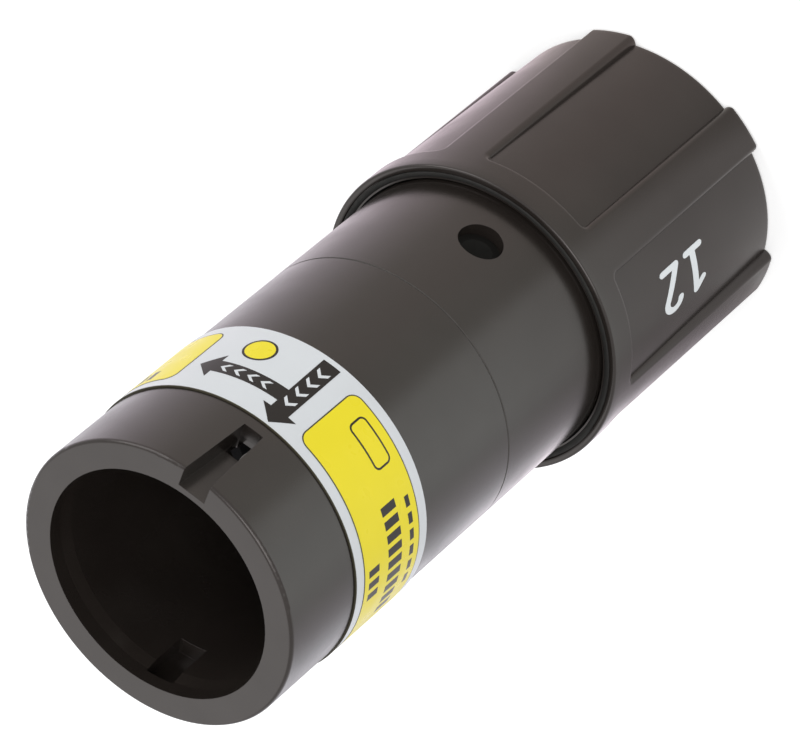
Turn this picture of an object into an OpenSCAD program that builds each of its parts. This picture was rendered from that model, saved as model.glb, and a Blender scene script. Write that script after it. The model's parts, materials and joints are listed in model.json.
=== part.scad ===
// Locking single-pole power plug, cable mounted.
// +Z runs along the plug's axis, from the cable end (Z = 0) to the mouth.
// -Y is the side with the first keyway and the release hole.

/* [Overall] */
// Length from the cable end to the mouth
total_length = 155; // [150:0.5:175]
// Outer diameter of the front tube and of the rear tube
tube_diameter = 57; // [54:0.5:62]
// Length of the bare rear tube, from the sleeve to the parting line
neck_length = 30.3; // [26:0.1:40]

/* [Mouth] */
// Wall between the bore and the tube's surface
wall = 6.1; // [5.6:0.1:6.8]
// How much wider the mouth's short counterbore is than the bore, on radius
mouth_clearance = 0.5; // [0.2:0.1:0.8]
// Depth of the counterbore
mouth_step = 3; // [1:0.5:5]
// Radius of the edge round the mouth
mouth_edge = 0.7; // [0.3:0.1:1.2]

/* [Keyway and inner groove] */
// Length of the keyway from the mouth
key_length = 16.3; // [14:0.1:18]
// Width of the keyway at the mouth
key_mouth_width = 5.7; // [5:0.1:7]
// Width of the keyway at its rear end
key_width = 4.1; // [3.5:0.1:5]
// Depth of the keyway's floor below the tube's surface
key_depth = 4.4; // [3:0.1:4.6]
// Length of the window at the keyway's rear end
window_length = 3.8; // [3:0.1:5]
// Angle that the bayonet pocket turns past the keyway
pocket_turn = 14; // [8:1:24]
// How far the pocket reaches behind the keyway's end
pocket_back = 1.8; // [0.8:0.1:3]
// Angle of the inner groove's middle from the keyway
groove_angle = 194.6; // [170:0.2:215]
// Angle that the inner groove takes up
groove_turn = 14.3; // [10:0.1:20]

/* [Label] */
// Distance from the mouth to the label
label_offset = 18.8; // [17.5:0.1:24]
// Width of the label along the axis
label_width = 21.7; // [14:0.1:26]
// Thickness of the label
label_thickness = 0.25; // [0.15:0.05:0.4]

/* [Release hole] */
// Diameter of the release hole
release_diameter = 8.6; // [6:0.1:9]
// Distance from the sleeve's front face to the hole's centre
release_offset = 10.9; // [10:0.1:14]

/* [Gland sleeve] */
// Length of the ribbed sleeve
sleeve_length = 57.5; // [55:0.5:60]
// Height of the rib tops above the tube
sleeve_rise = 3.35; // [3:0.05:5]
// Number of ribs
rib_count = 6; // [4:1:8]
// Width of a rib's top
rib_width = 9.1; // [6:0.1:11]
// Depth of a panel at its front end
panel_front_depth = 0.9; // [0.4:0.1:1.4]
// Depth of a panel at the cable end
panel_rear_depth = 1.85; // [1:0.05:2.4]
// Length of the plain ring in front of the panels
ring_length = 6; // [4:0.5:9]
// Diameter of the hole for the cable in the sleeve's rear wall
entry_diameter = 28; // [22:0.5:28.4]

/* [Contact] */
// Diameter of the contact pin
pin_diameter = 15; // [12:0.1:17]
// Distance from the mouth to the pin's tip
pin_recess = 28; // [22:0.5:34]
// Diameter of the hole for the conductor
conductor_diameter = 16.4; // [12:0.1:17]

/* [Cable seal] */
// Diameter of the hole in the seal's inner layer
cable_diameter = 19; // [14:0.5:21]

/* [Hidden] */
$fn = 96;
eps = 0.01;
slack = 0.3;                 // clearance between pieces that are not a fit
film_gap = 0.06;             // glue under the label
tube_r = tube_diameter / 2;
bore_r = tube_r - wall;
mouth_r = bore_r + mouth_clearance;
sleeve_r = tube_r + sleeve_rise;
release_r = release_diameter / 2;
pin_r = pin_diameter / 2;

// Stations along Z
z_part = sleeve_length + neck_length;
front_length = total_length - z_part;
z_hole = sleeve_length + release_offset;
z_spigot = z_hole + release_r + 2.4;
z_ledge = z_hole - 8.4;
z_cavity = z_ledge - 20;
stop_height = 4;
z_gland_top = z_cavity - stop_height;
z_carrier = z_hole + 29.6;
z_tip = total_length - pin_recess;
z_shoulder = sleeve_length - 7.5;
spigot_length = z_part - z_spigot;

// Front shell and the joint of the two shells
spigot_r = bore_r + 3.2;
socket_r = spigot_r + slack;
o_ring_r = 0.9;
seal_groove_r = socket_r - 2 * o_ring_r;
z_joint_seal = z_spigot + 0.74 * spigot_length;
snap_section = 1.4;
line_depth = 0.14;
z_snap = z_spigot + 0.34 * spigot_length;
snap_inner_r = spigot_r - 0.6;
snap_outer_r = socket_r + 0.6;
key_floor_r = tube_r - key_depth;
pocket_outer_r = tube_r - 2.9;
z_key_end = total_length - key_length;
z_window = z_key_end + window_length;

// Rear body and gland
carrier_bore_r = tube_r - 4;
cavity_r = tube_r - 7;
thread_r = tube_r - 1.8;
thread_pitch = 2.5;
thread_depth = 0.7;
gland_bore_r = tube_r - 6.2;
z_body_end = 10;
stop_hole_r = 14.5;

// Gland sleeve
sleeve_wall = 5;
sleeve_bore_r = thread_r + slack;
front_bore_r = tube_r + 0.4;
dust_ring_r = 0.85;
z_dust_ring = sleeve_length - 3.3;
panel_length = sleeve_length - ring_length;
panel_corner = 2.2;
panel_slope = (panel_rear_depth - panel_front_depth) / panel_length;
rib_pitch = 360 / rib_count;
panel_half_width = sleeve_r * sin(rib_pitch / 2 - asin(rib_width / 2 / sleeve_r));

// Contact
barrel_r = conductor_diameter / 2 + 4;
barrel_hole_r = conductor_diameter / 2;
carrier_hole_r = barrel_r + slack;
flange_r = barrel_r + 2.8;
counterbore_r = flange_r + slack;
collar_r = pin_r + 2.5;
z_barrel = z_cavity + 2;
z_barrel_floor = z_barrel + 34;
z_counterbore = z_ledge + 22;
washer_height = 1.5;
z_flange = z_counterbore + washer_height;
flange_height = 4.5;
z_retainer = z_flange + flange_height;
tip_length = 6;
screw_r = 3;
screw_positions = [z_ledge - 13, z_ledge - 5.5];

// Carrier
carrier_r = carrier_bore_r - slack;
carrier_nose_r = bore_r - slack;
z_carrier_step = z_spigot - slack;
z_carrier_seal = z_carrier - 6;
coding_height = 8;
coding_inner_r = bore_r - 3.4;
key_block_width = 4;
key_block_height = 9;

// Lock peg
peg_head_r = release_r + 0.6;
peg_pocket_r = peg_head_r + 0.3;
peg_pocket_floor = max(carrier_hole_r + 1, carrier_r - 9);
peg_top = tube_r - 2.8;
spring_count = 4;
spring_thickness = 0.5;
spring_rise = 0.35;
spring_step = spring_thickness + spring_rise - 0.05;
peg_base = peg_pocket_floor + spring_count * spring_step + 0.05;

// Seal stack
washer_top = sleeve_wall + 1.5;
collet_top = 18;
seal_bottom = collet_top + 1.2;
seal_split_r = cable_diameter / 2 + 2.5;
finger_count = 12;

// Ring of rectangular section
module ring(inner_r, outer_r, z0, z1) {
    rotate_extrude()
        translate([inner_r, z0])
            square([outer_r - inner_r, z1 - z0]);
}

// Ring of round section
module o_ring(centre_r, section_r, z) {
    rotate_extrude()
        translate([centre_r, z])
            circle(r = section_r, $fn = 32);
}

// Box around the Y axis on the -Y side, from radius y0 to radius y1
module front_box(width, y0, y1, z0, z1) {
    translate([-width / 2, -y1, z0])
        cube([width, y1 - y0, z1 - z0]);
}

// Round bar on the -Y side, from radius y0 to radius y1
module front_bar(r, y0, y1, z) {
    translate([0, -y0, z])
        rotate([90, 0, 0])
            cylinder(r = r, h = y1 - y0, $fn = 48);
}

// Sector of a ring, from angle a0 to angle a1 counted from -Y
module ring_sector(inner_r, outer_r, a0, a1, z0, z1) {
    rotate([0, 0, a0 - 90])
        rotate_extrude(angle = a1 - a0)
            translate([inner_r, z0])
                square([outer_r - inner_r, z1 - z0]);
}

// The keyway: tapered slot, window and the pocket that turns inside the wall
module keyway() {
    half_mouth = key_mouth_width / 2;
    half_end = key_width / 2;
    half_angle = asin(half_end / (pocket_outer_r + 0.7));
    translate([0, -key_floor_r, 0])
        rotate([90, 0, 0])
            linear_extrude(height = key_depth + 2)
                polygon([[-half_end, z_key_end], [half_end, z_key_end],
                         [half_mouth, total_length + 1], [-half_mouth, total_length + 1]]);
    front_box(key_width, bore_r - 2, tube_r - 1, z_key_end, z_window);
    ring_sector(bore_r - 2, pocket_outer_r, -half_angle - pocket_turn, half_angle,
                z_key_end - pocket_back, z_window - 0.3);
}

// Groove inside the bore for the second lug, behind the counterbore
module inner_groove() {
    ring_sector(bore_r - 2, pocket_outer_r, groove_angle - groove_turn / 2,
                groove_angle + groove_turn / 2, z_window - 0.3, total_length - mouth_step + 0.4);
}

// Front tube with the stepped mouth, the keyway, the inner groove and the spigot
module front_shell() {
    color([0.10, 0.095, 0.09])
    difference() {
        rotate_extrude() {
            difference() {
                union() {
                    translate([bore_r, z_part])
                        square([tube_r - bore_r, front_length]);
                    translate([bore_r, z_spigot])
                        square([spigot_r - bore_r, spigot_length + 1]);
                }
                // rounded outer edge of the mouth
                translate([tube_r - mouth_edge, total_length - mouth_edge])
                    difference() {
                        square(mouth_edge + 1);
                        circle(r = mouth_edge, $fn = 64);
                    }
                // counterbore that narrows to the bore on a cone
                polygon([[bore_r - 1, total_length - mouth_step - 2.5],
                         [bore_r, total_length - mouth_step - 2.5],
                         [mouth_r, total_length - mouth_step], [mouth_r, total_length + 1],
                         [bore_r - 1, total_length + 1]]);
                // half of the fine groove at the parting line
                polygon([[tube_r - line_depth, z_part - 1], [tube_r - line_depth, z_part],
                         [tube_r + 0.1, z_part + 1.5 * (line_depth + 0.1)], [tube_r + 0.1, z_part - 1]]);
                // grooves for the seal and the snap ring
                translate([seal_groove_r, z_joint_seal - 1.2])
                    square([4, 2.4]);
                translate([snap_inner_r - 0.1, z_snap])
                    square([4, snap_section + 0.2]);
                // lead-in at the spigot's end
                polygon([[spigot_r - 0.6, z_spigot - 1], [spigot_r + 1, z_spigot - 1],
                         [spigot_r + 1, z_spigot + 0.6], [spigot_r, z_spigot + 0.6],
                         [spigot_r - 0.6, z_spigot]]);
            }
        }
        keyway();
        inner_groove();
    }
}

// Printed band round the front tube
module label_band() {
    color([0.86, 0.88, 0.89])
        ring(tube_r + film_gap, tube_r + film_gap + label_thickness,
             total_length - label_offset - label_width, total_length - label_offset);
}

// Rear tube with the release hole, the thread for the sleeve and the gland bore
module rear_body() {
    color([0.105, 0.10, 0.095])
    difference() {
        rotate_extrude() {
            difference() {
                union() {
                    translate([0, z_shoulder])
                        square([tube_r, z_part - z_shoulder]);
                    translate([0, z_body_end])
                        square([thread_r, z_shoulder - z_body_end + 1]);
                }
                // socket for the spigot, bore for the carrier, cavity round the barrel
                translate([0, z_spigot - slack])
                    square([socket_r, spigot_length + 2]);
                translate([0, z_ledge])
                    square([carrier_bore_r, z_spigot - z_ledge]);
                translate([0, z_cavity - 1])
                    square([cavity_r, z_ledge - z_cavity + 2]);
                // gland bore with a cone that closes the collet
                translate([0, z_body_end - 1])
                    square([gland_bore_r, z_cavity - z_body_end + 1]);
                polygon([[gland_bore_r - eps, z_body_end - 1], [gland_bore_r + 1.6, z_body_end - 1],
                         [gland_bore_r + 1.6, z_body_end], [gland_bore_r - eps, z_body_end + 4]]);
                // thread for the sleeve, as rings
                for (z = [z_body_end + 3 : thread_pitch : z_shoulder - 4])
                    polygon([[thread_r - thread_depth, z], [thread_r - thread_depth, z + 0.6],
                             [thread_r + 0.4, z + 1.7], [thread_r + 0.4, z - 1.1]]);
                // relief below the shoulder
                translate([thread_r - thread_depth, z_shoulder - 2])
                    square([2, 2]);
                // half of the fine groove at the parting line
                polygon([[tube_r - line_depth, z_part + 1], [tube_r - line_depth, z_part],
                         [tube_r + 0.1, z_part - 1.5 * (line_depth + 0.1)], [tube_r + 0.1, z_part + 1]]);
                // groove for the snap ring
                translate([socket_r - 1, z_snap - 0.2])
                    square([snap_outer_r - socket_r + 1.1, snap_section + 0.2]);
            }
        }
        // release hole, wider inside for the peg's head
        front_bar(release_r, cavity_r, tube_r + 2, z_hole);
        front_bar(peg_head_r + 0.15, cavity_r, peg_top, z_hole);
        // keyway for the carrier's key
        translate([-key_block_width / 2, 0, z_ledge])
            cube([key_block_width, carrier_bore_r + 1.5, z_spigot - slack - z_ledge + eps]);
    }
}

// Outline of a panel, seen from outside
module panel_outline() {
    half_flat = panel_half_width - panel_corner;
    difference() {
        translate([-panel_half_width, -1])
            square([2 * panel_half_width, panel_length + 1]);
        for (side = [-1, 1])
            difference() {
                translate([side * (panel_half_width + 1) - panel_corner - 1, panel_length - panel_corner])
                    square(2 * panel_corner + 2);
                // a little larger than the corner, so it crosses both edges
                translate([side * half_flat, panel_length - panel_corner])
                    circle(r = 1.03 * panel_corner, $fn = 48);
            }
    }
}

// Cutter for one recessed panel: rounded front corners, floor on the cone
module panel_cutter() {
    difference() {
        translate([0, -sleeve_r + 8, 0])
            rotate([90, 0, 0])
                linear_extrude(height = 10)
                    panel_outline();
        translate([0, 0, -2])
            cylinder(r1 = sleeve_r - panel_rear_depth - 2 * panel_slope,
                     r2 = sleeve_r - panel_front_depth + 2 * panel_slope, h = panel_length + 4);
    }
}
// Ribbed sleeve that screws on the rear body
module gland_sleeve() {
    color([0.11, 0.105, 0.10])
    difference() {
        rotate_extrude() {
            difference() {
                translate([entry_diameter / 2, 0])
                    square([sleeve_r - entry_diameter / 2, sleeve_length]);
                translate([0, sleeve_wall])
                    square([sleeve_bore_r, sleeve_length]);
                translate([0, z_shoulder])
                    square([front_bore_r, sleeve_length]);
                // groove for the dust ring
                translate([front_bore_r - 1, z_dust_ring - 1.1])
                    square([tube_r + 2 * dust_ring_r - front_bore_r + 1, 2.2]);
                // rounded front edge
                translate([sleeve_r - 0.5, sleeve_length - 0.5])
                    difference() {
                        square(2);
                        circle(r = 0.5, $fn = 48);
                    }
                // rounded edge of the cable hole
                translate([entry_diameter / 2, 0])
                    difference() {
                        translate([-1, -1])
                            square([3, 3]);
                        translate([2, 2])
                            circle(r = 2, $fn = 64);
                    }
            }
        }
        for (i = [0 : rib_count - 1])
            rotate([0, 0, i * rib_pitch])
                panel_cutter();
    }
}

// Peg behind the release hole
module lock_peg() {
    color([0.03, 0.03, 0.03])
    difference() {
        union() {
            front_bar(peg_head_r, peg_base, peg_top, z_hole);
            front_bar(1.9, peg_pocket_floor + 0.4, peg_base + 1, z_hole);
        }
        // dimple for the release tool
        translate([0, -peg_top - 6, z_hole])
            sphere(r = 6.7, $fn = 64);
    }
}

// Stack of cone washers under the peg
module peg_springs() {
    color([0.62, 0.63, 0.65])
    translate([0, -peg_pocket_floor, z_hole])
        rotate([90, 0, 0])
            for (i = [0 : spring_count - 1])
                translate([0, 0, i * spring_step])
                    rotate_extrude()
                        polygon(i % 2 == 0 ?
                            [[2.2, spring_rise], [4.6, 0], [4.6, spring_thickness],
                             [2.2, spring_thickness + spring_rise]] :
                            [[2.2, 0], [4.6, spring_rise], [4.6, spring_thickness + spring_rise],
                             [2.2, spring_thickness]]);
}

// Insulator that holds the contact
module contact_carrier() {
    color([0.16, 0.17, 0.18])
    difference() {
        rotate_extrude() {
            difference() {
                union() {
                    translate([0, z_ledge])
                        square([carrier_r, z_carrier_step - z_ledge]);
                    translate([0, z_ledge])
                        square([carrier_nose_r, z_carrier - z_ledge]);
                }
                square([carrier_hole_r, z_carrier + 1]);
                translate([0, z_counterbore])
                    square([counterbore_r, z_carrier]);
                // groove for the seal
                translate([bore_r - 2 * o_ring_r, z_carrier_seal - 1.2])
                    square([4, 2.4]);
                // lead-in at the front
                polygon([[carrier_nose_r - 0.5, z_carrier + 1], [carrier_nose_r - 0.5, z_carrier],
                         [carrier_nose_r + 1, z_carrier - 1.5], [carrier_nose_r + 1, z_carrier + 1]]);
            }
        }
        front_bar(peg_pocket_r, peg_pocket_floor, carrier_r + 2, z_hole);
        translate([-key_block_width / 2, carrier_r - 1.9, z_ledge - 1])
            cube([key_block_width, 4, key_block_height + 1 + slack]);
    }
}

// Turned contact with the pin, the flange and the conductor barrel
module main_contact() {
    color([0.80, 0.80, 0.78])
    difference() {
        union() {
            rotate_extrude() {
                difference() {
                    union() {
                        translate([0, z_barrel])
                            square([barrel_r, z_flange - z_barrel + 1]);
                        translate([0, z_flange])
                            square([flange_r, flange_height]);
                        translate([0, z_flange])
                            square([collar_r, z_carrier - z_flange]);
                        translate([0, z_flange])
                            square([pin_r, z_tip - tip_length - z_flange]);
                    }
                    square([barrel_hole_r, z_barrel_floor]);
                    // lead-in for the conductor
                    polygon([[0, z_barrel - 1], [barrel_hole_r + 1.5, z_barrel - 1],
                             [barrel_hole_r + 1.5, z_barrel], [barrel_hole_r, z_barrel + 1.5],
                             [0, z_barrel + 1.5]]);
                    // socket for the cap's stud
                    translate([0, z_tip - tip_length - 8])
                        square([2.5, 9]);
                }
            }
        }
        for (z = screw_positions)
            rotate([0, 0, 180])
                front_bar(screw_r, 2, barrel_r + 1, z);
    }
}

// Insulating cap on the pin
module contact_tip() {
    color([0.05, 0.05, 0.05])
    rotate_extrude() {
        difference() {
            union() {
                translate([0, z_tip - tip_length])
                    square([pin_r - 0.4, tip_length]);
                translate([0, z_tip - tip_length - 7.5])
                    square([2.5, 8]);
            }
            // rounded nose
            translate([pin_r - 3.4, z_tip - 3])
                difference() {
                    square(4);
                    circle(r = 3, $fn = 64);
                }
        }
    }
}

// Washer under the contact's flange
module contact_washer() {
    color([0.65, 0.66, 0.67])
        ring(carrier_hole_r, flange_r, z_counterbore, z_flange);
}

// Threaded ring above the contact's flange, with two spanner slots
module contact_retainer() {
    color([0.20, 0.21, 0.22])
    difference() {
        ring(collar_r + slack, counterbore_r, z_retainer, z_carrier - 0.5);
        translate([-counterbore_r - 1, -1.2, z_carrier - 2.5])
            cube([2 * counterbore_r + 2, 2.4, 4]);
    }
}

// Keyed ring on the carrier's front face
module coding_ring() {
    color([0.30, 0.31, 0.32])
    difference() {
        union() {
            ring(coding_inner_r, carrier_nose_r, z_carrier, z_carrier + coding_height);
            for (angle = [40, 190])
                rotate([0, 0, angle])
                    front_box(4, coding_inner_r - 2.2, coding_inner_r + 1, z_carrier,
                              z_carrier + coding_height);
        }
        rotate_extrude()
            polygon([[carrier_nose_r - 0.6, z_carrier + coding_height + 1],
                     [carrier_nose_r - 0.6, z_carrier + coding_height],
                     [carrier_nose_r, z_carrier + coding_height - 0.6],
                     [carrier_nose_r + 1, z_carrier + coding_height + 1]]);
    }
}

// Key between carrier and rear body
module carrier_key() {
    color([0.62, 0.60, 0.52])
    translate([-key_block_width / 2, carrier_r - 1.9, z_ledge])
        cube([key_block_width, carrier_bore_r + 1.5 - carrier_r + 1.9, key_block_height]);
}

// O-ring between carrier and front shell
module carrier_seal() {
    color([0.04, 0.04, 0.04])
        o_ring(bore_r - o_ring_r, o_ring_r, z_carrier_seal);
}

// O-ring between front shell and rear body
module joint_seal() {
    color([0.04, 0.04, 0.04])
        o_ring(socket_r - o_ring_r, o_ring_r, z_joint_seal);
}

// Split ring that holds the two shells together
module joint_snap_ring() {
    color([0.66, 0.67, 0.68])
    difference() {
        ring(snap_inner_r, snap_outer_r, z_snap, z_snap + snap_section);
        rotate([0, 0, 90])
            front_box(5, snap_inner_r - 2, snap_outer_r + 2, z_snap - 1, z_snap + snap_section + 1);
    }
}

// Two set screws with a socket for the key
module set_screws() {
    color([0.45, 0.46, 0.48])
    for (z = screw_positions)
        rotate([0, 0, 180])
            difference() {
                front_bar(screw_r, barrel_hole_r - 0.6, barrel_r, z);
                translate([0, -barrel_r - 1, z])
                    rotate([-90, 0, 0])
                        cylinder(r = 1.6, h = 3, $fn = 6);
            }
}

// Pad between the set screws and the conductor
module pressure_pad() {
    color([0.72, 0.56, 0.36])
    intersection() {
        translate([-4.5, barrel_hole_r - 2.2, z_barrel + 2])
            cube([9, 1.6, 14.5]);
        cylinder(r = barrel_hole_r, h = total_length);
    }
}

// O-ring in the sleeve's front bore
module dust_ring() {
    color([0.04, 0.04, 0.04])
        o_ring(tube_r + dust_ring_r, dust_ring_r, z_dust_ring);
}

// Slip washer on the sleeve's rear wall
module thrust_washer() {
    color([0.78, 0.77, 0.72])
        ring(entry_diameter / 2 + 1, thread_r - 0.2, sleeve_wall, washer_top);
}

// Slit collet that grips the cable
module clamp_collet() {
    color([0.24, 0.24, 0.25])
    difference() {
        rotate_extrude()
            polygon([[entry_diameter / 2 + 0.2, washer_top], [gland_bore_r - slack, washer_top],
                     [gland_bore_r - slack, washer_top + 3], [gland_bore_r - 2.3, collet_top],
                     [entry_diameter / 2 + 0.2, collet_top]]);
        for (i = [0 : finger_count - 1])
            rotate([0, 0, i * 360 / finger_count])
                front_box(1.4, entry_diameter / 2 - 2, gland_bore_r + 1, washer_top + 3.5, collet_top + 1);
    }
}

// Plain washer between collet and seal
module seal_washer() {
    color([0.70, 0.69, 0.64])
        ring(seal_split_r - 0.5, gland_bore_r - slack, collet_top, seal_bottom);
}

// Ring at the end of the gland bore that the cable seal presses against
module seal_stop() {
    color([0.64, 0.64, 0.62])
        ring(stop_hole_r, gland_bore_r - slack, z_gland_top, z_cavity);
}

// Outer cable seal with three grooves between its lips
module cable_seal() {
    color([0.06, 0.06, 0.06])
    rotate_extrude() {
        difference() {
            translate([seal_split_r, seal_bottom])
                square([gland_bore_r - seal_split_r, z_gland_top - seal_bottom]);
            for (z = [seal_bottom + 3 : 5 : z_gland_top - 3])
                translate([gland_bore_r + 0.2, z])
                    circle(r = 1.3, $fn = 32);
        }
    }
}

// Inner layer of the cable seal
module seal_insert() {
    color([0.12, 0.12, 0.12])
    rotate_extrude() {
        difference() {
            translate([cable_diameter / 2, seal_bottom])
                square([seal_split_r - cable_diameter / 2, z_gland_top - seal_bottom]);
            polygon([[cable_diameter / 2 - 1, seal_bottom - 1], [cable_diameter / 2 + 1.2, seal_bottom - 1],
                     [cable_diameter / 2 + 1.2, seal_bottom], [cable_diameter / 2, seal_bottom + 1.5],
                     [cable_diameter / 2 - 1, seal_bottom + 1.5]]);
        }
    }
}

front_shell();
label_band();
rear_body();
gland_sleeve();
lock_peg();
peg_springs();
contact_carrier();
main_contact();
contact_tip();
contact_washer();
contact_retainer();
coding_ring();
carrier_key();
carrier_seal();
joint_seal();
joint_snap_ring();
set_screws();
pressure_pad();
dust_ring();
thrust_washer();
clamp_collet();
seal_washer();
cable_seal();
seal_insert();
seal_stop();
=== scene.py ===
import json
import math

import bmesh
import bpy
from mathutils import Matrix, Vector


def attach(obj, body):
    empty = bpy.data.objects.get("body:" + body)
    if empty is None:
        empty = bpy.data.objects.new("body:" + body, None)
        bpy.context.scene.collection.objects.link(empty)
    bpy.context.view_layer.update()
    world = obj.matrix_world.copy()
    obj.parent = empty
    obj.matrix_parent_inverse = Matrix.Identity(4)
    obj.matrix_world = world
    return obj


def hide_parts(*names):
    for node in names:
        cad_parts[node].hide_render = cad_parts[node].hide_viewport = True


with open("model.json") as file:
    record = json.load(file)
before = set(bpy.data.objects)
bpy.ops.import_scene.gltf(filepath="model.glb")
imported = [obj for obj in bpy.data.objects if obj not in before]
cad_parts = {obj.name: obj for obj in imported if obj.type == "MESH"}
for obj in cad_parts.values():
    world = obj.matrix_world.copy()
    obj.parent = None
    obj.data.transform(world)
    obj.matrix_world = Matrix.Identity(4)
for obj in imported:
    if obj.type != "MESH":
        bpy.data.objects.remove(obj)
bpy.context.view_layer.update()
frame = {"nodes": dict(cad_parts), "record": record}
mm = 0.001

# the plug stands on its cable end, mouth up, keyway and release hole towards -Y
# sizes and heights are in mm unless a note says metres
# turns are in degrees round the axis, from -Y, counter-clockwise seen from the mouth
plug = {
    "length": 155.0,
    "labelRadius": 28.81,
    "strip": 2.0,        # degrees of tube that one flat strip of a print covers
}


def newPiece(name, bm, finish, sharpFrom=35):
    bmesh.ops.recalc_face_normals(bm, faces=bm.faces)
    mesh = bpy.data.meshes.new(name)
    bm.to_mesh(mesh)
    bm.free()
    mesh.materials.append(finish)
    mesh.shade_smooth()
    mesh.set_sharp_from_angle(angle=math.radians(sharpFrom))
    piece = bpy.data.objects.new(name, mesh)
    bpy.context.scene.collection.objects.link(piece)
    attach(piece, "root")
    return piece


def spinOutline(bm, corners, steps):
    # joins the corners into a closed outline and spins it once round the axis
    edges = [bm.edges.new((corners[i], corners[i - 1])) for i in range(len(corners))]
    bmesh.ops.spin(bm, geom=corners + edges, cent=(0, 0, 0), axis=(0, 0, 1), angle=math.radians(360),
                   steps=steps, use_merge=True)


def spunRing(name, outline, finish, steps=180):
    # outline is (radius, height), closed
    bm = bmesh.new()
    spinOutline(bm, [bm.verts.new((x * mm, 0, z * mm)) for x, z in outline], steps)
    newPiece(name, bm, finish)


def flatPoint(turn, back):
    # back is the distance from the mouth
    return Vector((math.radians(turn) * plug["labelRadius"] * mm, 0, (plug["length"] - back) * mm))


def flatOutline(corners):
    # a face from corners (turn, distance from the mouth), laid flat
    bm = bmesh.new()
    bm.faces.new([bm.verts.new(flatPoint(turn, back)) for turn, back in corners])
    return bm


def roundCorners(bm, radius):
    bmesh.ops.bevel(bm, geom=bm.verts[:], offset=radius * mm, offset_type="OFFSET", affect="VERTICES",
                    segments=8, profile=0.5, material=-1)


def wrapOnTube(bm, radius, thickness):
    # cut into narrow strips, thickened outwards, then bent round the axis
    xs = [v.co.x for v in bm.verts]
    width = math.radians(plug["strip"]) * radius * mm
    for i in range(math.ceil(min(xs) / width), math.floor(max(xs) / width) + 1):
        bmesh.ops.bisect_plane(bm, geom=bm.verts[:] + bm.edges[:] + bm.faces[:], dist=1e-7,
                               plane_co=(i * width, 0, 0), plane_no=(1, 0, 0))
    raised = bmesh.ops.extrude_face_region(bm, geom=bm.faces[:])["geom"]
    bmesh.ops.translate(bm, vec=(0, thickness * mm, 0),
                        verts=[g for g in raised if isinstance(g, bmesh.types.BMVert)])
    for v in bm.verts:
        turn = v.co.x / (radius * mm)
        out = radius * mm + v.co.y
        v.co = (out * math.sin(turn), -out * math.cos(turn), v.co.z)
    return bm


def arcTurns(last, steps):
    # radians from 0 to last degrees in even steps
    return [math.radians(last * i / steps) for i in range(steps + 1)]


viewpoint = {
    "place": (-0.22974, -0.66631, 0.72962),      # metres
    "right": (-0.78044, -0.27712, -0.56047),
    "down": (-0.57741, 0.66329, 0.47607),
    "lens": 237.6,
    "sensor": 36,
    "clip": (0.05, 20),      # metres
}


def addCamera():
    right = Vector(viewpoint["right"]).normalized()
    back = right.cross(-Vector(viewpoint["down"])).normalized()
    up = back.cross(right)
    data = bpy.data.cameras.new("camera")
    data.lens = viewpoint["lens"]
    data.sensor_width = viewpoint["sensor"]
    data.clip_start, data.clip_end = viewpoint["clip"]
    camera = bpy.data.objects.new("camera", data)
    bpy.context.scene.collection.objects.link(camera)
    turn = Matrix((right, up, back)).transposed().to_4x4()
    camera.matrix_world = Matrix.Translation(viewpoint["place"]) @ turn
    bpy.context.scene.camera = camera


light = {
    # how bright the surroundings are to matt surfaces, to glossy ones and to the camera
    "matt": 0.55,
    "glossy": 0.9,
    "seen": 1.0,
    "target": (0, 0, 0.08),      # metres, where the lamps point
    # place and size in metres, watts
    "lamps": [
        ((-0.55, -0.75, 1.25), 0.9, 9.0),
        ((0.95, -0.55, 0.75), 0.8, 5.0),
        ((0.35, 0.95, 1.15), 0.9, 2.0),
    ],
}


def mixShaders(tree, factor, first, second):
    # first where the factor is 0, second where it is 1
    mix = tree.nodes.new("ShaderNodeMixShader")
    tree.links.new(factor, mix.inputs["Fac"])
    tree.links.new(first, mix.inputs[1])
    tree.links.new(second, mix.inputs[2])
    return mix.outputs["Shader"]


def background(tree, strength):
    white = tree.nodes.new("ShaderNodeBackground")
    white.inputs["Color"].default_value = (1, 1, 1, 1)
    white.inputs["Strength"].default_value = strength
    return white.outputs["Background"]


def addSurroundings():
    world = bpy.data.worlds.new("studio")
    bpy.context.scene.world = world
    world.use_nodes = True
    tree = world.node_tree
    tree.nodes.clear()
    rays = tree.nodes.new("ShaderNodeLightPath")
    seen = tree.nodes.new("ShaderNodeMath")
    seen.operation = "MAXIMUM"
    tree.links.new(rays.outputs["Is Camera Ray"], seen.inputs[0])
    tree.links.new(rays.outputs["Is Transmission Ray"], seen.inputs[1])
    lit = mixShaders(tree, rays.outputs["Is Glossy Ray"], background(tree, light["matt"]),
                     background(tree, light["glossy"]))
    shown = mixShaders(tree, seen.outputs["Value"], lit, background(tree, light["seen"]))
    tree.links.new(shown, tree.nodes.new("ShaderNodeOutputWorld").inputs["Surface"])


def addLamps():
    for i, (place, size, watts) in enumerate(light["lamps"]):
        data = bpy.data.lights.new(f"softLamp{i + 1}", "AREA")
        data.shape = "SQUARE"
        data.size = size
        data.energy = watts
        lamp = bpy.data.objects.new(f"softLamp{i + 1}", data)
        lamp.location = place
        lamp.rotation_mode = "QUATERNION"
        lamp.rotation_quaternion = (Vector(place) - Vector(light["target"])).to_track_quat("Z", "Y")
        bpy.context.scene.collection.objects.link(lamp)


def newFinish(name):
    material = bpy.data.materials.new(name)
    material.use_nodes = True
    tree = material.node_tree
    return material, tree, tree.nodes["Principled BSDF"]


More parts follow.
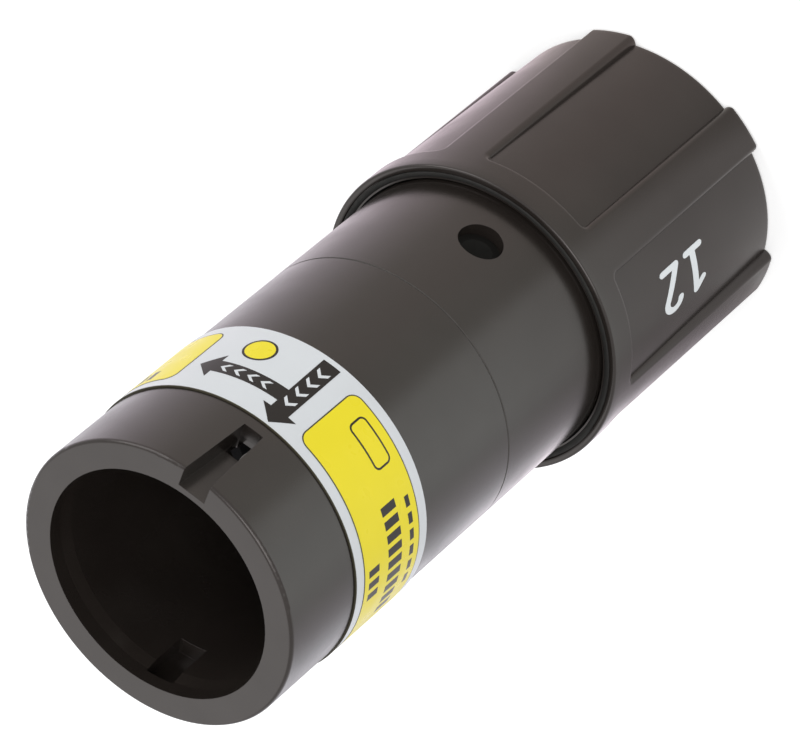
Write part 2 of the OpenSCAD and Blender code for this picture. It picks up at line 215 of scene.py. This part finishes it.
floor = {
    "reach": 4,          # metres from the axis to its sides
    "height": -0.2,      # just clear of the plug's end
    "colour": (0.9, 0.9, 0.9),
    "roughness": 0.9,
    "glow": 0.4,         # added where the camera sees it
    # painted reflection: glossy surfaces see this instead: degrees round the Z axis from +X, brightness,
    # tint
    "sheen": [
        (-180, 1.40, (1, 1.02, 1.01)), (-171, 1.63, (1, 1.05, 1.03)), (-150, 1.75, (1, 1.06, 1.04)),
        (-127, 1.72, (1, 1.05, 1.02)), (-112, 1.02, (1, 1.02, 0.95)), (-71, 1.02, (1, 0.95, 0.89)),
        (-51, 1.00, (1, 0.95, 0.90)), (-31, 1.18, (1, 0.93, 0.93)), (-11, 1.30, (1, 0.92, 0.97)),
        (9, 1.40, (1, 0.92, 0.99)), (29, 1.39, (1, 0.94, 1.01)), (45, 1.24, (1, 0.97, 1.02)),
        (62, 1.28, (1, 0.99, 1.04)), (79, 1.07, (1, 1, 1.04)), (94, 0.90, (1, 0.98, 1.03)),
        (109, 1.40, (1, 0.98, 1.04)), (129, 1.34, (1, 0.99, 1.05)), (149, 1.13, (1, 0.97, 1.02)),
        (169, 1.12, (1, 1, 1)), (180, 1.38, (1, 1.06, 1.04)),
    ],
    "sheenTop": 2.0,     # brightness that the ramp's full white stands for
    # painted shadow and painted highlight in the reflections close to the plug: there the sheen is
    # multiplied by this, below 1 darker, above 1 brighter: degrees as above, factor
    "nearPaintedShading": [(-180, 0.53), (-150, 0.60), (-120, 0.68), (-90, 0.88), (-40, 0.92), (0, 0.97), (60, 1.0),
             (80, 1.6), (100, 1.9), (120, 1.3), (140, 0.56), (160, 0.43), (180, 0.53)],
    "nearPaintedShadingTint": (1, 0.92, 0.93),
    "nearPaintedShadingReach": (0.05, 0.14),      # metres from the axis, where the painted shading holds in full and where it ends
}


def roundRamp(tree, around, stops):
    # a colour for each direction round the axis, from stops (degrees, colour)
    ramp = tree.nodes.new("ShaderNodeValToRGB")
    ramp.color_ramp.interpolation = "EASE"
    elements = ramp.color_ramp.elements
    while len(elements) > 1:
        elements.remove(elements[-1])
    for i, (turn, colour) in enumerate(stops):
        place = turn / 360 + 0.5
        element = elements[0] if i == 0 else elements.new(place)
        element.position = place
        element.color = (*colour, 1)
    tree.links.new(around, ramp.inputs["Fac"])
    return ramp.outputs["Color"]


def floorSheen(tree):
    # an uneven bright card that only glossy rays meet: the painted reflections and highlights of glossy
    # surfaces, brighter, darker and tinted by direction round the axis
    place = tree.nodes.new("ShaderNodeTexCoord")
    around = tree.nodes.new("ShaderNodeTexGradient")
    around.gradient_type = "RADIAL"
    tree.links.new(place.outputs["Object"], around.inputs["Vector"])
    top = floor["sheenTop"]
    stops = [(turn, [level * c / top for c in tint]) for turn, level, tint in floor["sheen"]]
    sheen = roundRamp(tree, around.outputs["Fac"], stops)
    # painted shadow and highlight in the reflections beside the plug, fading out with distance from its
    # axis
    stops = [(turn, [level * c for c in floor["nearPaintedShadingTint"]]) for turn, level in floor["nearPaintedShading"]]
    nearPaintedShading = roundRamp(tree, around.outputs["Fac"], stops)
    away = tree.nodes.new("ShaderNodeVectorMath")
    away.operation = "LENGTH"
    tree.links.new(place.outputs["Object"], away.inputs[0])
    closeness = tree.nodes.new("ShaderNodeMapRange")
    closeness.interpolation_type = "SMOOTHSTEP"
    inner, outer = floor["nearPaintedShadingReach"]
    closeness.inputs["From Min"].default_value = outer
    closeness.inputs["From Max"].default_value = inner
    tree.links.new(away.outputs["Value"], closeness.inputs["Value"])
    shaded = tree.nodes.new("ShaderNodeMixRGB")
    shaded.blend_type = "MULTIPLY"
    tree.links.new(closeness.outputs["Result"], shaded.inputs["Fac"])
    tree.links.new(sheen, shaded.inputs["Color1"])
    tree.links.new(nearPaintedShading, shaded.inputs["Color2"])
    card = tree.nodes.new("ShaderNodeEmission")
    card.inputs["Strength"].default_value = top
    tree.links.new(shaded.outputs["Color"], card.inputs["Color"])
    return card.outputs["Emission"]


def floorPaper():
    paper, tree, shader = newFinish("floorPaper")
    shader.inputs["Base Color"].default_value = (*floor["colour"], 1)
    shader.inputs["Roughness"].default_value = floor["roughness"]
    shader.inputs["Specular IOR Level"].default_value = 0.0
    shader.inputs["Emission Color"].default_value = (1, 1, 1, 1)
    rays = tree.nodes.new("ShaderNodeLightPath")
    glow = tree.nodes.new("ShaderNodeMath")
    glow.operation = "MULTIPLY"
    glow.inputs[1].default_value = floor["glow"]
    tree.links.new(rays.outputs["Is Camera Ray"], glow.inputs[0])
    tree.links.new(glow.outputs["Value"], shader.inputs["Emission Strength"])
    # glossy rays meet the card of painted reflections instead of the paper
    surface = mixShaders(tree, rays.outputs["Is Glossy Ray"], shader.outputs["BSDF"], floorSheen(tree))
    tree.links.new(surface, tree.nodes["Material Output"].inputs["Surface"])
    return paper


def addFloor():
    bm = bmesh.new()
    bmesh.ops.create_grid(bm, x_segments=1, y_segments=1, size=floor["reach"])
    bmesh.ops.translate(bm, vec=(0, 0, floor["height"] * mm), verts=bm.verts)
    mesh = bpy.data.meshes.new("floor")
    bm.to_mesh(mesh)
    bm.free()
    mesh.materials.append(floorPaper())
    sheet = bpy.data.objects.new("floor", mesh)
    bpy.context.scene.collection.objects.link(sheet)


noise = {
    "span": (0.3, 0.7),      # nearly all of a noise texture's values lie between these
    "grainDetail": 2.0,
    "edgeSamples": 4,
}


def objectNoise(tree, scale, detail):
    place = tree.nodes.new("ShaderNodeTexCoord")
    texture = tree.nodes.new("ShaderNodeTexNoise")
    texture.inputs["Scale"].default_value = scale
    texture.inputs["Detail"].default_value = detail
    tree.links.new(place.outputs["Object"], texture.inputs["Vector"])
    return texture.outputs["Fac"]


def spread(tree, value, low, high):
    # a noise's value turned into a number between low and high
    remap = tree.nodes.new("ShaderNodeMapRange")
    least, most = noise["span"]
    remap.inputs["From Min"].default_value = least
    remap.inputs["From Max"].default_value = most
    remap.inputs["To Min"].default_value = low
    remap.inputs["To Max"].default_value = high
    tree.links.new(value, remap.inputs["Value"])
    return remap.outputs["Result"]


def shade(tree, value, dark, pale):
    # a noise's value turned into a colour between dark and pale
    ramp = tree.nodes.new("ShaderNodeValToRGB")
    for element, position, colour in zip(ramp.color_ramp.elements, noise["span"], (dark, pale)):
        element.position = position
        element.color = (*colour, 1)
    tree.links.new(value, ramp.inputs["Fac"])
    return ramp.outputs["Color"]


def grain(tree, scale, depth, strength, soften=0):
    # fine surface bump, with worn edges where soften is a radius
    bump = tree.nodes.new("ShaderNodeBump")
    bump.inputs["Strength"].default_value = strength
    bump.inputs["Distance"].default_value = depth * mm
    tree.links.new(objectNoise(tree, scale, noise["grainDetail"]), bump.inputs["Height"])
    if soften:
        edge = tree.nodes.new("ShaderNodeBevel")
        edge.samples = noise["edgeSamples"]
        edge.inputs["Radius"].default_value = soften * mm
        tree.links.new(edge.outputs["Normal"], bump.inputs["Normal"])
    return bump.outputs["Normal"]


def unevenFinish(name, kind, dark, pale, rough):
    # colour and gloss that vary over the surface: the kind of finish gives each noise's scale and detail
    material, tree, shader = newFinish(name)
    tree.links.new(shade(tree, objectNoise(tree, *kind["mottle"]), dark, pale), shader.inputs["Base Color"])
    tree.links.new(spread(tree, objectNoise(tree, *kind["patches"]), *rough), shader.inputs["Roughness"])
    return material, tree, shader


plastic = {
    "dark": (0.0170, 0.0136, 0.0116),
    "pale": (0.0208, 0.0168, 0.0144),
    "mottle": (90, 4),
    "patches": (160, 3),
    "rough": (0.20, 0.27),
    "grain": (2600, 0.01, 0.2),      # noise scale, depth, strength
    "edge": 0.15,                    # how soft the moulded edges look
    "tint": (1.0, 0.935, 0.92),      # of its reflections
}


def mouldedPlastic(name, dark, pale, soften=True):
    material, tree, shader = unevenFinish(name, plastic, dark, pale, plastic["rough"])
    shader.inputs["Specular Tint"].default_value = (*plastic["tint"], 1)
    edge = plastic["edge"] if soften else 0
    tree.links.new(grain(tree, *plastic["grain"], edge), shader.inputs["Normal"])
    return material


film = {
    "mottle": (60, 3),
    "patches": (220, 2),
    "darker": 0.965,
    "rough": 0.32,
    "roughSpread": (-0.04, 0.05),
    "gloss": 0.3,
    "inkGloss": 0.25,
    "grain": (1800, 0.01, 0.12),
}


def printedFilm(name, colour, rough=film["rough"], gloss=film["gloss"]):
    dark = [film["darker"] * c for c in colour]
    span = [rough + more for more in film["roughSpread"]]
    material, tree, shader = unevenFinish(name, film, dark, colour, span)
    shader.inputs["Specular IOR Level"].default_value = gloss
    tree.links.new(grain(tree, *film["grain"]), shader.inputs["Normal"])
    return material


rubber = {
    "mottle": (300, 4),
    "patches": (500, 2),
    "darker": 0.8,
    "rough": (0.62, 0.78),
    "gloss": 0.35,
    "grain": (2200, 0.03, 0.4),
}


def plainRubber(name, colour, gloss=rubber["gloss"]):
    dark = [rubber["darker"] * c for c in colour]
    material, tree, shader = unevenFinish(name, rubber, dark, colour, rubber["rough"])
    shader.inputs["Specular IOR Level"].default_value = gloss
    tree.links.new(grain(tree, *rubber["grain"]), shader.inputs["Normal"])
    return material


metal = {
    "mottle": (140, 4),
    "patches": (260, 3),
    "darker": 0.9,
    "roughSpread": (-0.05, 0.07),
    "latheScale": 900,
    "latheWander": 1.5,
    "latheDepth": 0.01,
    "latheStrength": 0.15,
}


def turnedMetal(name, colour, rough):
    dark = [metal["darker"] * c for c in colour]
    span = [rough + more for more in metal["roughSpread"]]
    material, tree, shader = unevenFinish(name, metal, dark, colour, span)
    shader.inputs["Metallic"].default_value = 1.0
    # fine lathe rings along Z
    place = tree.nodes.new("ShaderNodeTexCoord")
    rings = tree.nodes.new("ShaderNodeTexWave")
    rings.wave_type = "BANDS"
    rings.bands_direction = "Z"
    rings.inputs["Scale"].default_value = metal["latheScale"]
    rings.inputs["Distortion"].default_value = metal["latheWander"]
    bump = tree.nodes.new("ShaderNodeBump")
    bump.inputs["Strength"].default_value = metal["latheStrength"]
    bump.inputs["Distance"].default_value = metal["latheDepth"] * mm
    tree.links.new(place.outputs["Object"], rings.inputs["Vector"])
    tree.links.new(rings.outputs["Fac"], bump.inputs["Height"])
    tree.links.new(bump.outputs["Normal"], shader.inputs["Normal"])
    return material


def dressNodes():
    dark, pale = plastic["dark"], plastic["pale"]
    finishes = {
        "shell_plastic": mouldedPlastic("shellPlastic", dark, pale),
        "sleeve_plastic": mouldedPlastic("sleevePlastic", dark, pale, soften=False),
        "label_white": printedFilm("labelFilm", (0.655, 0.680, 0.700)),
        # darker than the plastic and low in gloss: partly the peg's own black, partly painted shade in the
        # release hole
        "peg_black": plainRubber("pegBlackAndShade", (0.0085, 0.008, 0.007), gloss=0.15),
        "insulator_grey": mouldedPlastic("insulatorPlastic", (0.013, 0.013, 0.014), (0.018, 0.018, 0.019),
                                         soften=False),
        "tip_black": mouldedPlastic("tipPlastic", (0.009, 0.009, 0.009), (0.013, 0.013, 0.013),
                                    soften=False),
        "ring_grey": mouldedPlastic("ringPlastic", (0.028, 0.028, 0.030), (0.038, 0.038, 0.041),
                                    soften=False),
        "washer_nylon": printedFilm("nylon", (0.54, 0.52, 0.45), rough=0.45),
        "silver_plate": turnedMetal("silverPlate", (0.80, 0.80, 0.77), 0.24),
        "pad_brass": turnedMetal("brass", (0.72, 0.53, 0.30), 0.3),
        "spring_steel": turnedMetal("springSteel", (0.56, 0.57, 0.58), 0.28),
        "screw_steel": turnedMetal("screwSteel", (0.42, 0.43, 0.45), 0.35),
        "seal_rubber": plainRubber("sealRubber", (0.02, 0.02, 0.02)),
    }
    for part in frame["record"]["subparts"]:
        for nodeSlot in frame["nodes"][part["node"]].material_slots:
            nodeSlot.material = finishes[part["material_slot"]]
    return finishes


sleeve = {
    "radius": 31.84,
    "length": 57.5,
    "panels": 6,
    "panelTop": 51.5,
    "halfWidth": 11.82,  # of a panel
    "corner": 1.7,       # of a panel, at its top
    "floor": 30.0,       # panel floor's radius at the cable end
    "taper": 0.01845,    # its growth with each mm towards the mouth
    "wall": 1.15,        # over which a rib rounds off into its wall
    # columns round each sixth of the sleeve: along a wall, in a panel's corner, in its middle, on a rib
    "columns": {"wall": 30, "corner": 10, "panel": 16, "rib": 6},
    "wallSpan": 0.56,    # half the width that a wall's columns cover, as a share of the wall
    "cornerSpan": 1.1,   # the width that a corner's columns cover, as a share of the corner
    # rows of the outside: above the panels, close together over their top wall, below it
    "rowsAbove": [55, 53.2],
    "rowsOfWall": (52.6, 0.13, 32),      # first, apart, count
    "rowsBelow": [47.5, 45, 38, 30, 22, 14, 7, 3, 1.4],
    "frontRound": 0.5,
    "face": 30.45,       # inner radius of the flat front face
    "faceBreak": 0.12,   # bevel at that edge
    "faceDepth": 0.45,   # from the front down to the wiper ring
    "endRound": 0.7,
    "endRows": (26, 18),  # radii across the end face
    "hole": 14.0,
    "holeRound": 2.0,
    # inside, radius and height, from the wiper ring down to the cable hole
    "inside": [(28.9, 57.05), (28.9, 55.3), (30.2, 55.3), (30.2, 53.1), (28.9, 53.1), (28.9, 50.0),
               (27.0, 50.0), (27.0, 5.0), (14.0, 5.0), (14.0, 2.0)],
    "sharpFrom": 50,
}


def panelDepth(turn, z):
    # how far the outer surface lies below the ribs, with soft walls
    half = math.radians(180 / sleeve["panels"])
    local = (turn + half) % (2 * half) - half
    across = abs(sleeve["radius"] * math.sin(local)) - sleeve["halfWidth"] + sleeve["corner"]
    ahead = z - sleeve["panelTop"] + sleeve["corner"]
    apart = math.hypot(max(across, 0), max(ahead, 0)) + min(max(across, ahead), 0) - sleeve["corner"]
    inward = min(max(0.5 - apart / sleeve["wall"], 0), 1)
    panelFloor = sleeve["floor"] + sleeve["taper"] * z
    return (sleeve["radius"] - panelFloor) * (1 - math.sqrt(1 - inward * inward))


def sleeveOutline():
    # closed outline (radius, height, whether the panels may press it in), from the front face round
    radius, length, face = sleeve["radius"], sleeve["length"], sleeve["face"]
    bevel = sleeve["faceBreak"]
    points = [(face, length - sleeve["faceDepth"], False), (face, length - bevel, False),
              (face + bevel, length, False)]
    r = sleeve["frontRound"]
    points += [(radius - r + r * math.sin(a), length - r + r * math.cos(a), False) for a in arcTurns(90, 4)]
    top, apart, count = sleeve["rowsOfWall"]
    rows = sleeve["rowsAbove"] + [top - apart * i for i in range(count)] + sleeve["rowsBelow"]
    points += [(radius, z, True) for z in rows]
    r = sleeve["endRound"]
    points += [(radius - r + r * math.cos(a), r - r * math.sin(a), True) for a in arcTurns(90, 6)]
    points += [(x, 0, False) for x in sleeve["endRows"]]
    r = sleeve["holeRound"]
    points += [(sleeve["hole"] + r - r * math.sin(a), r - r * math.cos(a), False) for a in arcTurns(72, 4)]
    points += [(x, z, False) for x, z in reversed(sleeve["inside"])]
    return points


def columnTurns():
    # degrees of each column in one sixth, close together along the walls and in the panel's corners
    many = sleeve["columns"]
    wallTurn = math.degrees(math.asin(sleeve["halfWidth"] / sleeve["radius"]))
    span = math.degrees(sleeve["wallSpan"] * sleeve["wall"] / sleeve["radius"])
    corner = math.degrees(sleeve["cornerSpan"] * sleeve["corner"] / sleeve["radius"])
    middle = wallTurn - span - corner
    stops = [(-wallTurn - span, many["wall"]), (-wallTurn + span, many["corner"]), (-middle, many["panel"]),
             (middle, many["corner"]), (wallTurn - span, many["wall"]), (wallTurn + span, many["rib"])]
    ends = [start for start, _ in stops[1:]] + [stops[0][0] + 360 / sleeve["panels"]]
    turns = []
    for (start, count), end in zip(stops, ends):
        turns += [start + (end - start) * k / count for k in range(count)]
    return turns


def addSleeve(finish):
    # spun with even columns, then the columns move along the walls and the panels are pressed in
    bm = bmesh.new()
    outside = bm.verts.layers.int.new("outside")
    corners = []
    for x, z, pressed in sleeveOutline():
        corners.append(bm.verts.new((x * mm, 0, z * mm)))
        corners[-1][outside] = int(pressed)
    turns = columnTurns()
    count = len(turns) * sleeve["panels"]
    spinOutline(bm, corners, count)
    for v in bm.verts:
        step = round(math.degrees(math.atan2(v.co.y, v.co.x)) / 360 * count) % count
        sector, inner = divmod(step, len(turns))
        turn = math.radians(turns[inner] + sector * 360 / sleeve["panels"])
        out = math.hypot(v.co.x, v.co.y)
        if v[outside]:
            out -= panelDepth(turn, v.co.z / mm) * mm
        v.co = (out * math.sin(turn), -out * math.cos(turn), v.co.z)
    piece = newPiece("ribbedSleeve", bm, finish, sleeve["sharpFrom"])
    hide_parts("gland_sleeve")


# a dull rubber ring inside the sleeve's front face, low in gloss so that the face reads dark: partly the
# ring's own rubber, partly painted shade and painted dark reflection
wiperAndShade = {
    "outline": [(30.35, 57.05), (30.35, 57.3), (30.2, 57.42), (29.9, 57.42), (29.3, 57.15), (28.95, 56.7),
                (28.95, 56.5), (30.35, 56.5)],
    "colour": (0.027, 0.026, 0.0245),
    "gloss": 0.3,
}


def addWiperAndShade():
    finish = plainRubber("wiperRubberAndShade", wiperAndShade["colour"], wiperAndShade["gloss"])
    spunRing("wiperRingAndShade", wiperAndShade["outline"], finish)


partingGlint = {
    "height": 87.80,
    # across the fine groove: the lip on the rear tube's side of it, paler than the plastic as a painted
    # glint
    "lip": [(28.2, -0.22), (28.49, -0.22), (28.47, -0.10), (28.37, 0.02), (28.2, 0.02)],
    # paler than the plastic all round: a painted glint along the parting line
    "colour": (0.062, 0.057, 0.052),
    "steps": 360,
}


def addPartingLipGlint():
    outline = [(x, partingGlint["height"] + z) for x, z in partingGlint["lip"]]
    finish = plainRubber("partingLipGlint", partingGlint["colour"])
    spunRing("partingLipGlint", outline, finish, partingGlint["steps"])


label = {
    "inks": {
        "yellow": (0.845, 0.715, 0.017),
        "black": (0.016, 0.0125, 0.011),
        "olive": (0.058, 0.052, 0.033),
    },
    "inkRough": 0.3,
    # the two yellow fields: from and to in degrees, then what they share
    "fields": {"fieldLeft": (43, 190), "fieldRight": (-112, -11.9)},
    "front": 21.2,       # distances from the mouth
    "rear": 38.2,
    "corner": 2.3,
    "line": 0.26,
    # how high each print stands on the film: where two overlap, the upper one is higher
    "height": {"line": 0.03, "field": 0.05, "mark": 0.055, "ring": 0.03, "spot": 0.05, "frameLine": 0.06,
               "frame": 0.07, "block": 0.06, "edge": 0.03},
    "groups": {"first": 0, "second": 203},       # where each group of arrows is, degrees
    # arrows and the chevrons on them: degrees from the group's place, distance from the mouth
    "arrows": {
        "Ahead": {"outline": [(3.3, 39.3), (-4.15, 39.3), (-4.5, 23.25), (-8.0, 23.25), (-1.1, 19.56),
                              (6.1, 23.1), (2.8, 23.1)],
                  "height": 0.04,
                  "mark": [(-3.0, 1.3), (-0.6, 0), (1.9, 1.3), (1.9, 2.2), (-0.6, 0.9), (-3.0, 2.2)],
                  "first": (0, 25.0),
                  "apart": (0, 3.3)},
        "Turn": {"outline": [(2.9, 28.5), (31.3, 28.5), (31.25, 30.4), (38.2, 26.7), (31.3, 23.1),
                             (31.3, 25.0), (2.9, 25.0)],
                 "height": 0.035,
                 "mark": [(0, 25.7), (2.4, 26.75), (0, 27.8), (1.6, 27.8), (4.0, 26.75), (1.6, 25.7)],
                 "first": (8.5, 0),
                 "apart": (5.6, 0)},
    },
    "marks": 4,          # chevrons on each arrow
    "spotAt": (23.2, 34.2),
    "spotRadius": 3.2,
    "spotRing": 0.45,
    "frameAt": (-29.6, 33.6),
    "frameSize": (9.6, 4.6),
    "frameCorner": 1.3,
    "frameLine": 0.4,
    # rows of plain blocks: from, to, degrees; front, rear, from the mouth; a block's length and the pitch
    "rows": [(-104, -50.5, 28.6, 32.7, 1.7, 2.75), (-88, -69, 22.7, 25.8, 1.5, 2.6),
             (-100, -53, 35.2, 36.4, 2.2, 3.4), (66, 119.5, 28.6, 32.7, 1.7, 2.75),
             (52, 64, 22.7, 25.8, 1.5, 2.6)],
    "edge": (18.75, 18.94),      # the painted shadow line along the film's front edge, from and to
    "edgeDepth": 0.3,            # how far it reaches in under the film
}


def turnOf(length):
    # degrees of the film that a length along it covers
    return length * 180 / (math.pi * plug["labelRadius"])


def addPrint(name, bm, height, ink):
    newPiece(name, wrapOnTube(bm, plug["labelRadius"], height), ink)


def addRounded(name, left, right, front, rear, corner, height, ink):
    bm = flatOutline([(left, front), (right, front), (right, rear), (left, rear)])
    roundCorners(bm, corner)
    addPrint(name, bm, height, ink)


def addFields(inks):
    front, rear, corner, line = label["front"], label["rear"], label["corner"], label["line"]
    height = label["height"]
    for name, (left, right) in label["fields"].items():
        addRounded(name + "Line", left, right, front, rear, corner, height["line"], inks["olive"])
        addRounded(name, left + turnOf(line), right - turnOf(line), front + line, rear - line,
                   corner - line, height["field"], inks["yellow"])


def addArrows(group, turn, inks):
    for name, arrow in label["arrows"].items():
        outline = [(turn + a, back) for a, back in arrow["outline"]]
        addPrint(f"{group}{name}Arrow", flatOutline(outline), arrow["height"], inks["black"])
    for i in range(label["marks"]):
        for name, arrow in label["arrows"].items():
            across, along = (first + apart * i for first, apart in zip(arrow["first"], arrow["apart"]))
            outline = [(turn + across + a, along + back) for a, back in arrow["mark"]]
            addPrint(f"{group}{name}Mark{i + 1}", flatOutline(outline), label["height"]["mark"],
                     inks["white"])


def addSpot(group, turn, inks):
    # a disc on a darker one that shows as its outline
    around, back = label["spotAt"]
    discs = (("Ring", 0, "ring", "black"), ("", label["spotRing"], "spot", "yellow"))
    for part, inset, height, ink in discs:
        bm = bmesh.new()
        bmesh.ops.create_circle(bm, cap_ends=True, radius=(label["spotRadius"] - inset) * mm, segments=48)
        bmesh.ops.rotate(bm, matrix=Matrix.Rotation(math.radians(90), 3, "X"), verts=bm.verts)
        bmesh.ops.translate(bm, vec=flatPoint(turn + around, back), verts=bm.verts)
        addPrint(f"{group}Spot{part}", bm, label["height"][height], inks[ink])


def addFrame(inks):
    around, back = label["frameAt"]
    for name, inset, ink in (("frameLine", 0, "black"), ("frame", label["frameLine"], "yellow")):
        wide, tall = (0.5 * n - inset for n in label["frameSize"])
        addRounded(name, around - turnOf(wide), around + turnOf(wide), back - tall, back + tall,
                   label["frameCorner"] - inset, label["height"][name], inks[ink])


def addBlocks(inks):
    for i, (left, right, front, rear, block, pitch) in enumerate(label["rows"]):
        for k in range(int((right - left) / turnOf(pitch))):
            end = right - k * turnOf(pitch)
            start = end - turnOf(block)
            outline = [(start, front), (end, front), (end, rear), (start, rear)]
            addPrint(f"row{i + 1}Block{k + 1}", flatOutline(outline), label["height"]["block"],
                     inks["black"])


def addFilmEdgeShadow(inks):
    # a dark olive ring along the film's front edge: a painted shadow line where the film steps up from the
    # tube
    front, rear = (plug["length"] - back for back in label["edge"])
    inner = plug["labelRadius"] - label["edgeDepth"]
    outer = plug["labelRadius"] + label["height"]["edge"]
    spunRing("filmEdgeShadow", [(inner, front), (outer, front), (outer, rear), (inner, rear)], inks["olive"])


def addLabelPrint(white):
    inks = {name: printedFilm(f"{name}Ink", colour, label["inkRough"], film["inkGloss"])
            for name, colour in label["inks"].items()}
    inks["white"] = white
    addFields(inks)
    for group, turn in label["groups"].items():
        addArrows(group, turn, inks)
        addSpot(group, turn, inks)
    addFrame(inks)
    addBlocks(inks)
    addFilmEdgeShadow(inks)


digits = {
    "start": 23.4,       # above the cable end
    "foot": -51.1,       # degrees, where the digits stand
    "stroke": 1.25,
    "stretch": 1.5,      # along the sleeve
    "pitch": 8.4,        # from one digit to the next
    # centre lines of the strokes, along and up, before the stretch
    "one": [[(2.5, 0.62), (2.5, 8.95)], [(2.5, 8.95), (0.85, 7.5)], [(0.75, 0.62), (3.9, 0.62)]],
    "two": [[(2.2 + 1.6 * math.cos(math.radians(a)), 7.35 + 1.6 * math.sin(math.radians(a)))
             for a in range(172, -31, -12)] + [(0.75, 0.75)], [(0.75, 0.62), (3.85, 0.62)]],
    "radius": 30.55,     # of the panel's floor where the digits are
    "lift": 0.02,        # clear of the floor
    "height": 0.04,      # of a digit's first stroke
    "overlap": 0.01,     # how much higher each further stroke is
    "colour": (0.80, 0.84, 0.86),
    "rough": 0.4,
}


def strokeOutline(line, width):
    # outline of a stroke with round ends
    points = [Vector(p) for p in line]
    left, right = [], []
    for i, p in enumerate(points):
        way = (points[min(i + 1, len(points) - 1)] - points[max(i - 1, 0)]).normalized()
        side = Vector((-way.y, way.x)) * width / 2
        left.append(p + side)
        right.append(p - side)

    def cap(centre, rim):
        arm = rim - centre
        return [centre + Matrix.Rotation(math.radians(-a), 2) @ arm for a in range(20, 180, 20)]

    return left + cap(points[-1], left[-1]) + right[::-1] + cap(points[0], right[0])


def layOnFloor(bm, radius):
    # from a tube of that radius down or up onto the panel's conical floor
    for v in bm.verts:
        shift = (sleeve["floor"] + digits["lift"]) * mm + sleeve["taper"] * v.co.z - radius * mm
        out = math.hypot(v.co.x, v.co.y)
        v.co.x *= (out + shift) / out
        v.co.y *= (out + shift) / out


def addDigits():
    white = printedFilm("whiteInk", digits["colour"], digits["rough"])
    radius = digits["radius"]
    foot = math.radians(digits["foot"]) * radius * mm
    for k, name in enumerate(("one", "two")):
        start = digits["start"] + k * digits["pitch"]
        for i, line in enumerate(digits[name]):
            bm = bmesh.new()
            bm.faces.new([bm.verts.new((foot - p.y * mm, 0, (start + p.x * digits["stretch"]) * mm))
                          for p in strokeOutline(line, digits["stroke"])])
            wrapOnTube(bm, radius, digits["height"] + digits["overlap"] * i)
            layOnFloor(bm, radius)
            newPiece(f"digit{k + 1}Stroke{i + 1}", bm, white)


bpy.context.scene.view_settings.view_transform = "Standard"
addCamera()
addSurroundings()
addLamps()
addFloor()
print("camera, lamps and floor set")
finishes = dressNodes()
print("finishes on the solids")
addSleeve(finishes["sleeve_plastic"])
addWiperAndShade()
addPartingLipGlint()
print("sleeve, wiper ring and parting line spun")
addLabelPrint(finishes["label_white"])
addDigits()
print("label print and digits added")
